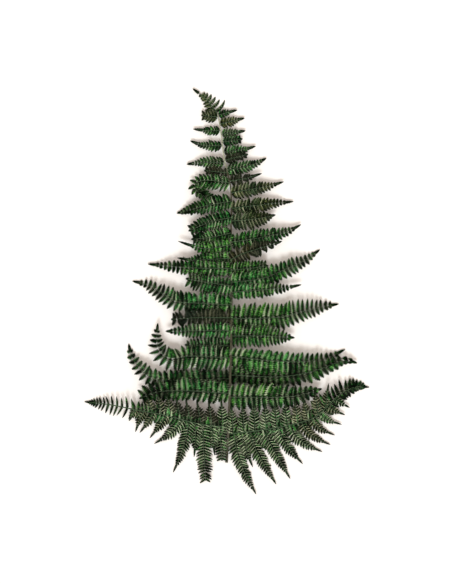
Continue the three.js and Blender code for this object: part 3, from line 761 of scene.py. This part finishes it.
# %% Rows of pinnae
# foot, route, longest leaflet above and below, tail, rests, tone, tucked near the rachis,
# share of painted edge highlights, finish
RIGHT = [
    (73, [(60, 73), (80, 75), (105, 82)], 15.5, 15.5, 5, 0, 0.02, 0, 0.7, "green"),
    (97, [(59, 95), (91, 100), (112, 107), (130, 113), (144, 110)], 13, 13, 5, 0, 0.05, 1, 0.6, "green"),
    (118, [(48, 113), (86, 112), (112, 116), (131, 125)], 11.5, 15.5, 9, 1, 0.05, 0, 0.5, "green"),
    (140, [(40, 140), (75, 138)], 14, 13.5, 5, 0, 0.02, 0, 0.5, "green"),
    (159, [(62, 161), (85, 167), (107, 172), (124, 175)], 17, 13.5, 8, 1, 0.0, 0, 0.3, "green"),
    (188, [(32, 190), (72, 194), (82, 198)], 8.5, 9, 10, 0, 0.04, 0, 0.5, "green"),
    (199, [(39, 203), (53, 208), (64, 213), (78, 219), (92, 227), (103, 235)],
     11, 11.5, 7, 1, 0.0, 0, 0.3, "green"),
    (212, [(24, 214), (46, 217)], 9, 9, 3, 0, 0.06, 0, 0.2, "green"),
    (224, [(15, 229), (42, 238), (61, 244)], 9.5, 9.5, 6, 0, 0.05, 0, 0.7, "brown"),
    (243, [(20, 245), (43, 249), (68, 255), (82, 263)], 10, 10, 9, 0, 0.0, 0, 0.2, "green"),
    (266, [(36, 269), (54, 273)], 9.5, 11, 5, 0, 0.0, 0, 0.3, "olive"),
    (280, [(30, 283), (55, 286), (74, 288)], 8.5, 9, 9, 1, 0.0, 0, 0.5, "olive"),
    (297, [(26, 301), (48, 305), (63, 310)], 8.5, 8.5, 9, 0, 0.0, 0, 0.6, "olive"),
    (310, [(21, 313), (39, 319)], 7, 7, 10, 0, 0.0, 0, 0.2, "brown"),
    (322, [(17, 325), (33, 330), (44, 336)], 7.5, 7.5, 6, 1, -0.08, 0, 0.2, "green"),
    (333, [(24, 340)], 6, 6, 4, 0, 0.0, 0, 0.2, "brown"),
    (342, [(11, 344), (23, 346), (32, 350)], 6.5, 6.5, 8, 0, -0.08, 0, 0.1, "green"),
    (353, [(18, 357)], 6, 6, 4, 0, -0.1, 0, 0.1, "green"),
    (362, [(10, 364), (21, 366)], 5.5, 5.5, 6, 0, -0.1, 0, 0.1, "green"),
    (373, [(8, 377), (20, 380)], 6, 6, 6, 0, 0.06, 0, 0.5, "olive"),
    (383, [(12, 389)], 5, 5, 8, 0, -0.1, 0, 0.1, "green"),
]
LEFT = [
    (77, [(-51, 80), (-78, 78), (-96, 71)], 15, 13, 4, 0, 0.0, 0, 0.7, "green"),
    (93, [(-51, 91), (-83, 94), (-97, 106), (-105, 118), (-108, 131)], 13, 13, 6, 1, 0.0, 1, 0.6, "green"),
    (116, [(-40, 118), (-63, 116), (-74, 124), (-76.5, 137), (-75.5, 154)],
     13, 16, 7, 0, 0.0, 0, 0.6, "green"),
    (129, [(-29, 130), (-46, 130)], 9, 9, 3, 0, 0.0, 0.5, 0.5, "green"),
    (146, [(-29, 146), (-67, 145)], 9, 10, 5, 0, 0.05, 0, 0.6, "green"),
    (160, [(-34, 160), (-61, 158)], 11, 11, 3, 0, 0.0, 0, 0.4, "brown"),
    (174, [(-29, 176), (-56, 178), (-68, 185), (-87, 196), (-104, 200)],
     13, 12.5, 8, 1, -0.03, 0, 0.4, "green"),
    (195, [(-23, 199), (-45, 203)], 9.5, 13, 4, 0, 0.0, 0, 0.3, "green"),
    (214, [(-44, 215), (-87, 219)], 9.5, 9.5, 9, 1, 0.0, 0, 0.15, "green"),
    (225, [(-24, 224), (-43, 224), (-52, 231)], 8.5, 8.5, 12, 0, -0.05, 0, 0.1, "green"),
    (240, [(-22, 236), (-38, 239), (-52, 247)], 8.5, 8.5, 16, 0, 0.04, 0, 0.1, "green"),
    (253, [(-18, 248), (-39, 246)], 9, 9, 4, 0, 0.0, 0, 0.1, "green"),
    (270, [(-18, 265), (-42, 255)], 9, 9, 4, 0, 0.0, 0, 0.1, "green"),
    (288, [(-22, 283), (-55, 275)], 9.5, 9.5, 5, 1, -0.03, 0, 0.1, "green"),
    (308, [(-18, 311), (-28, 310.5), (-34, 307.5), (-34.5, 302), (-29.5, 297), (-23, 292), (-15, 288)],
     7, 11, 2, 0, 0, 0, 0.3, "green"),
    (319, [(-25, 322)], 6, 6, 4, 0, 0.0, 0, 0.1, "brown"),
    (330, [(-23, 331), (-44, 329)], 7, 7, 6, 1, -0.08, 0, 0.1, "green"),
    (349, [(-27, 350), (-40, 355)], 6, 6, 7, 0, -0.08, 0, 0.1, "green"),
    (366, [(-22, 366), (-37, 368)], 5.5, 5.5, 9, 0, -0.08, 0, 0.1, "green"),
    (381, [(-28, 383)], 7, 7, 3, 0, -0.08, 0, 0.1, "olive"),
]
FINISH_OF = {"green": green_leaf, "olive": olive_leaf, "brown": shaded_brown_leaf}
print(len(RIGHT), "rows on the right,", len(LEFT), "on the left")

# %% Make the pinnae
PITCH_BASE, PITCH_GROWTH, PITCH_LOW = 2.5, 0.022, 0.9
NOTCH_LOW, NOTCH_HIGH = 0.48, 0.24
NOTCH_BAND, WIDE_BAND, HIGH_BAND = (150, 240), (80, 140), (190, 350)  # places of the foot along the rachis
BARE_FROM = 325  # above this, leaflets start clear of the axis of the rachis
MIDDLE_TONE = 0.5
RIGHT_SEED, LEFT_SEED = 100, 200


def pinna(name, tip_side, foot, route, above, below, tail, rests, tone, tucked, pale, finish, seed):
    """A pinna from its row: its midrib starts on the axis of the rachis. Low on the frond the notches are
    deeper."""
    rng = np.random.default_rng(seed)
    rib = Midrib([(rachis_at(foot), foot), *route], tip_side, bool(rests), tucked=tucked)
    rings = Rings()
    depth = NOTCH_LOW - (NOTCH_LOW - NOTCH_HIGH) * smooth_step(foot, *NOTCH_BAND)
    pitch = PITCH_BASE + PITCH_GROWTH * rib.length + PITCH_LOW * (1 - smooth_step(foot, *WIDE_BAND))
    start = rachis_radius(foot) if foot > BARE_FROM else 0.0
    jitter = UNEVEN if finish == "brown" else EVEN
    leafy_midrib(rings, rib, start, pitch, (above, below), tail, MIDDLE_TONE + tone, pale, rng, depth,
                 jitter, smooth_step(foot, *HIGH_BAND))
    return rings.make(name, [FINISH_OF[finish], midrib_finish])


pieces = [pinna(f"pinna_right_{i:02d}", 1, *row, seed=RIGHT_SEED + i) for i, row in enumerate(RIGHT, 2)]
pieces += [pinna(f"pinna_left_{i:02d}", -1, *row, seed=LEFT_SEED + i) for i, row in enumerate(LEFT, 2)]
print(len(pieces), "pinnae,", sum(len(p.data.polygons) for p in pieces), "faces")

# %% [markdown]
# ## The lowest pair
# The two lowest pinnae are the largest. Their leaflets have grown into branchlets, each with a midrib and
# two combs of its own, long below and shorter above. Past them the outer end carries single leaflets. The
# same functions make them: a branchlet is a midrib that starts on another midrib and lies at its height.

# %% A branchlet
BRANCHLET_FOOT, BRANCHLET_PITCH = 1.5, 3.1  # the first leaflet, and the spacing
BRANCHLET_TILT = 0.16
BRANCHLET_FILL = (0.62, 0.52)
BRANCHLET_SHADE, BLUNT_LIGHT = 0.24, 0.12
# painted edge highlight share: above 1, so that every leaflet gets one and nearly half of them a full one
BRANCHLET_HIGHLIGHT = 3.0  # above 1, so that every leaflet has a pale edge and nearly half of them a full one
BRANCHLET_LEAN, BLUNT_LEAN = 70, 82
BRANCHLET_LOSS, BLUNT_LOSS, LOSS_POWER = 0.8, 0.3, 2.4  # how much shorter the last leaflets are
BLUNT_STUB = 1.0  # tail of a blunt branchlet
LONGEST_TAIL, TAIL_SHARE = 9.0, 0.3  # tail of the others, the second as a share of their length
THIN_TAIL_HALF, THIN_TAIL_SHADE = 1.4, 0.25
BRANCHLET_ROD, BRANCHLET_STATIONS = (0.5, 0.25), 10


def branchlet(rings, rib, side, place, tip, sweep, wide, tone, rng, slot, blunt):
    """A second midrib from a place on the first one to a tip. It is straight apart from a sweep: it
    starts out steeper and bends outwards by sweep times (t - t^2). Its leaflets shorten from wide to
    nearly nothing, or stay long where the end is blunt."""
    x0, y0, heading = rib.at(place)
    t = np.linspace(0, 1, 5)[:, None]
    line = (1 - t) * (x0, y0) + t * tip - sweep * (t - t**2) * (np.cos(heading), np.sin(heading))
    base = (x0, y0, heading, place / rib.length)
    twig = Midrib(line, 0, parent=rib, base=base, tilt=side * BRANCHLET_TILT)
    tail = BLUNT_STUB if blunt else min(LONGEST_TAIL, TAIL_SHARE * twig.length)
    tone = tone + BLUNT_LIGHT if blunt else tone
    places = np.arange(BRANCHLET_FOOT, twig.length - tail, BRANCHLET_PITCH)
    loss = BLUNT_LOSS if blunt else BRANCHLET_LOSS
    long = wide * (1 - loss * (places / (twig.length - tail)) ** LOSS_POWER)
    for way in (1, -1):
        comb(rings, twig, way, places, BRANCHLET_PITCH, long, tone - BRANCHLET_SHADE, BRANCHLET_HIGHLIGHT, rng,
             lean=BLUNT_LEAN if blunt else BRANCHLET_LEAN, slot=slot, fill=BRANCHLET_FILL)
    tail_blade(rings, twig, tail, THIN_TAIL_HALF, tone - THIN_TAIL_SHADE, slot)
    lay_rod(rings, twig, twig.length - 0.5 * tail, BRANCHLET_ROD, BRANCHLET_STATIONS)


# %% A large pinna
BETWEEN_FROM, BETWEEN_PITCH, BETWEEN_REACH = 4.0, 4.4, 11.0  # short leaflets between the branchlets
# the middle number is the share of painted edge highlights on these short leaflets
BETWEEN_SHADE, BETWEEN_HIGHLIGHT, BETWEEN_NOTCH = 0.1, 0.2, 0.4
SINGLE_STOP, SINGLE_CLOSING = 7, 0.5  # single leaflets end this far from the tip, and close up on the way
# the last number is the share of painted edge highlights on the single leaflets
SINGLE_LOSS, SINGLE_POWER, SINGLE_HIGHLIGHT = 0.8, 1.5, 0.1
LARGE_TAIL, LARGE_TAIL_HALF = 9.0, 1.8
LARGE_ROD, LARGE_ROD_STOP, LARGE_STATIONS = (0.9, 0.5), 5, 24


def lowest_pinna(name, tip_side, foot, route, lower, upper, outer, tone, seed):
    """A large pinna. lower and upper are rows of branchlets (place, tip, sweep, wide, finish, blunt).
    Short leaflets on the midrib fill in between them. outer gives where single leaflets begin, how many
    there are, their reach above and below, and their breadth. These draw closer together towards the
    tip."""
    rng = np.random.default_rng(seed)
    rib = Midrib([(rachis_at(foot), foot), *route], tip_side, True)
    rings = Rings()
    for side, rows in ((-tip_side, lower), (tip_side, upper)):
        for place, tip, sweep, wide, slot, *blunt in rows:
            branchlet(rings, rib, side, place, tip, sweep, wide, tone, rng, slot, bool(blunt))
    start, count, above, below, breadth = outer
    between = np.arange(BETWEEN_FROM, start, BETWEEN_PITCH)
    between_reach = np.full(len(between), BETWEEN_REACH)
    way_out = np.linspace(0, 1, count)
    closer = way_out * (1 + SINGLE_CLOSING - SINGLE_CLOSING * way_out)
    places = start + (rib.length - SINGLE_STOP - start) * closer
    shorter = 1 - SINGLE_LOSS * way_out**SINGLE_POWER
    for side, reach in ((tip_side, above), (-tip_side, below)):
        comb(rings, rib, side, between, BETWEEN_PITCH, between_reach, tone - BETWEEN_SHADE, BETWEEN_HIGHLIGHT,
             rng, BETWEEN_NOTCH)
        comb(rings, rib, side, places, breadth, reach * shorter, tone, SINGLE_HIGHLIGHT, rng)
    tail_blade(rings, rib, LARGE_TAIL, LARGE_TAIL_HALF, tone - TAIL_SHADE)
    lay_rod(rings, rib, rib.length - LARGE_ROD_STOP, LARGE_ROD, LARGE_STATIONS)
    return rings.make(name, [green_leaf, midrib_finish, shaded_brown_leaf, olive_leaf])


# %% Make the lowest pair
GREEN, SHADED_BROWN, OLIVE = 0, 2, 3  # places in the list of finishes above
RIGHT_ROUTE = [(42, 37), (74, 43), (98, 51), (116, 68), (129, 78), (147, 84), (157, 80)]
LEFT_ROUTE = [(-24, 42), (-68, 53), (-96, 58), (-128, 64), (-157, 67)]
LEFT_FOOT = 40
RIGHT_OUTER, LEFT_OUTER = (104, 14, 18, 13, 5.4), (107, 12, 12.5, 13.5, 3.0)
RIGHT_TONE, LEFT_TONE = 0.5, 0.48
# place on the midrib, tip, sweep, longest leaflet, finish, and "blunt" where the end is blunt
RIGHT_LOWER = [
    (14, (29.5, -5), 6, 8.5, GREEN), (30, (52, 8), 4, 8, GREEN), (46, (65, 17), 3, 8, GREEN),
    (6, (33, -35), 18, 11, GREEN), (22, (55, -24), 8, 10.5, GREEN), (38, (70.5, -18), 2, 10, GREEN),
    (54, (84.5, -1.5), 12, 9.5, GREEN), (69, (106, 12), 32, 9, GREEN), (82, (115, 20), 26, 8, OLIVE),
    (93, (120, 31), 18, 7, OLIVE), (104, (127.5, 43), 12, 6, GREEN), (115, (131, 53), 3, 6, OLIVE),
    (127, (136, 61), 2, 6, GREEN),
]
RIGHT_UPPER = [
    (6, (5, 67), 0, 9, GREEN), (18, (17, 68), 0, 9, GREEN), (30, (30, 69.5), 0, 9, GREEN),
    (42, (42, 70), 0, 9, GREEN), (54, (53, 71), 0, 9, GREEN), (66, (64, 72), 0, 8.5, GREEN),
    (78, (74, 73), 0, 8.5, OLIVE), (90, (83, 74), 0, 8, OLIVE), (102, (96, 84), 0, 8, OLIVE),
    (113, (112, 88), 0, 7.5, OLIVE),
]
LEFT_LOWER = [
    (19, (-13, 8), 0, 9, GREEN), (37, (-36, 6), 4, 9.5, GREEN), (10, (-5, 2), 0, 9, GREEN, "blunt"),
    (29, (-23, -20), 0, 10.5, GREEN, "blunt"), (44, (-59, -11), 10, 9.5, GREEN),
    (52, (-80, 21), 16, 9, GREEN), (70, (-85, 27), 4, 7.5, OLIVE), (84, (-96, 33), 4, 7, OLIVE),
    (95, (-100, 33.5), -4, 6.5, OLIVE), (104, (-107.5, 46), 0, 6, OLIVE),
]
# the brown branchlets here are partly real brown and partly painted shade for the deep shadow in the gap
# beside them
LEFT_UPPER = [
    (6, (-6, 72), 0, 9, GREEN), (18, (-20, 71), 0, 9, SHADED_BROWN), (30, (-33, 71), 0, 9, SHADED_BROWN),
    (42, (-45, 72), 0, 9, SHADED_BROWN), (53, (-56, 75), 0, 8.5, SHADED_BROWN), (64, (-66, 78), 0, 8, OLIVE),
    (75, (-76, 79), 0, 8, OLIVE), (86, (-87, 76), 0, 7.5, OLIVE),
]
right_low = lowest_pinna("pinna_right_01", 1, LOWEST_FOOT, RIGHT_ROUTE, RIGHT_LOWER, RIGHT_UPPER,
                         RIGHT_OUTER, RIGHT_TONE, RIGHT_SEED + 1)
left_low = lowest_pinna("pinna_left_01", -1, LEFT_FOOT, LEFT_ROUTE, LEFT_LOWER, LEFT_UPPER,
                        LEFT_OUTER, LEFT_TONE, LEFT_SEED + 1)
print("lowest pair:", [len(p.data.polygons) for p in (right_low, left_low)], "faces")

# %% [markdown]
# ## The tip
# At its top the rachis turns left and becomes the midrib of the leafy tip. It is olive. Its leaflets are
# narrow, and those on the right are long and hooked.

# %% The leafy tip
TIP_FOOT, TIP_ROUTE = 384, [(-22, 400.5), (-37.5, 412.5)]
TIP_SEED = 7
TIP_HALF, TIP_ROLL, TIP_DROOP, TIP_LOBES, TIP_NOTCH = 2.1, 0.15, 0.02, 5, 0.2
TIP_TONE, TIP_TONE_SPREAD = 0.95, 0.1
TIP_UNEVEN = 4  # degrees by which the leaflets differ
TIP_TAIL, TIP_TAIL_TONE = 8.0, 0.5
TIP_ROD, TIP_STATIONS = (0.6, 0.35), 14
# distance along the midrib, and length of the leaflet there
TIP_RIGHT = np.array([(4, 17), (9.5, 12), (14.5, 10), (19, 8.5), (23, 6.5), (26.5, 5)])
TIP_LEFT = np.array([(3, 11), (8, 10), (12.5, 8.5), (17, 7), (21, 5.5), (24.5, 4.5), (28, 3.5)])
RIGHT_BENT, LEFT_BENT = (97, 48), (78, 12)  # lean and hook in degrees

tip_rib = Midrib([(rachis_at(TIP_FOOT), TIP_FOOT), *TIP_ROUTE], 0, True)
tip_rings = Rings()
tip_random = np.random.default_rng(TIP_SEED)
for way, row, bent in ((-1, TIP_RIGHT, RIGHT_BENT), (1, TIP_LEFT, LEFT_BENT)):
    lean, hook = np.radians(tip_random.normal(bent, TIP_UNEVEN, (len(row), 2))).T
    leaflets = blades(tip_rib, row[:, 0], way, row[:, 1], TIP_HALF, lean, hook,
                      roll=TIP_ROLL, droop=TIP_DROOP, lobes=TIP_LOBES, depth=TIP_NOTCH)
    tones = TIP_TONE + tip_random.normal(0, TIP_TONE_SPREAD, len(row))
    tip_rings.add(*leaflets, 0, True, tone=tones, dry=DRY_AND_SHADED_MOST, lobes=TIP_LOBES)
tail_blade(tip_rings, tip_rib, TIP_TAIL, TAIL_HALF, TIP_TAIL_TONE)
lay_rod(tip_rings, tip_rib, tip_rib.length - 0.5 * TIP_TAIL, TIP_ROD, TIP_STATIONS)
tip = tip_rings.make("frond_tip", [olive_leaf, midrib_finish])
print("tip", len(tip.data.polygons), "faces")

# %% [markdown]
# ## The rachis
# The main stem is round below and has a groove along its upper side. Its section is a ring whose radius
# dips at the top, carried along the route.

# %% A grooved stem
STEM_SIDES = 14
GROOVE_DEPTH, GROOVE_WIDTH = 0.3, 24.0  # a share of the radius, and degrees
UNDER_DROP = 2.2  # the crowded pinnae in the middle lie over the rachis
UNDER_FROM, UNDER_TO = (145, 170), (275, 300)
TABLE_CLEAR = 0.02


def grooved_stem(stations=120):
    """A ring whose radius is the rachis radius times 1 - depth exp(-(angle from the top / width)^2), so
    that the top is hollow. It is carried along the rachis, and dips where the pinnae lie over it."""
    y = np.linspace(0, rachis_path[-1, 1], stations)
    x = rachis_at(y)
    heading = np.arctan2(np.gradient(y), np.gradient(x))
    angle = np.linspace(0, 2 * np.pi, STEM_SIDES, endpoint=False)
    from_top = np.degrees(np.abs((angle - np.pi / 2 + np.pi) % (2 * np.pi) - np.pi))
    radius = rachis_radius(y)[:, None] * (1 - GROOVE_DEPTH * np.exp(-((from_top / GROOVE_WIDTH) ** 2)))
    aside, up = radius * np.cos(angle), radius * np.sin(angle)
    under = smooth_step(y, *UNDER_FROM) - smooth_step(y, *UNDER_TO)
    z = np.maximum(crown(y)[:, None] - UNDER_DROP * under[:, None] + up, TABLE_CLEAR)
    points = set_aside(x, y, heading, aside, z)[None, :, ::-1]
    across = np.broadcast_to(angle[::-1] / (2 * np.pi), points.shape[:3])
    along = np.broadcast_to((y / y[-1])[:, None] * STREAK_RUNS, points.shape[1:3])[None]
    return points, across, along


stem_rings = Rings()
stem_rings.add(*grooved_stem(), 0)
stem = stem_rings.make("rachis", [rachis_finish])
print("rachis", len(stem.data.polygons), "faces")
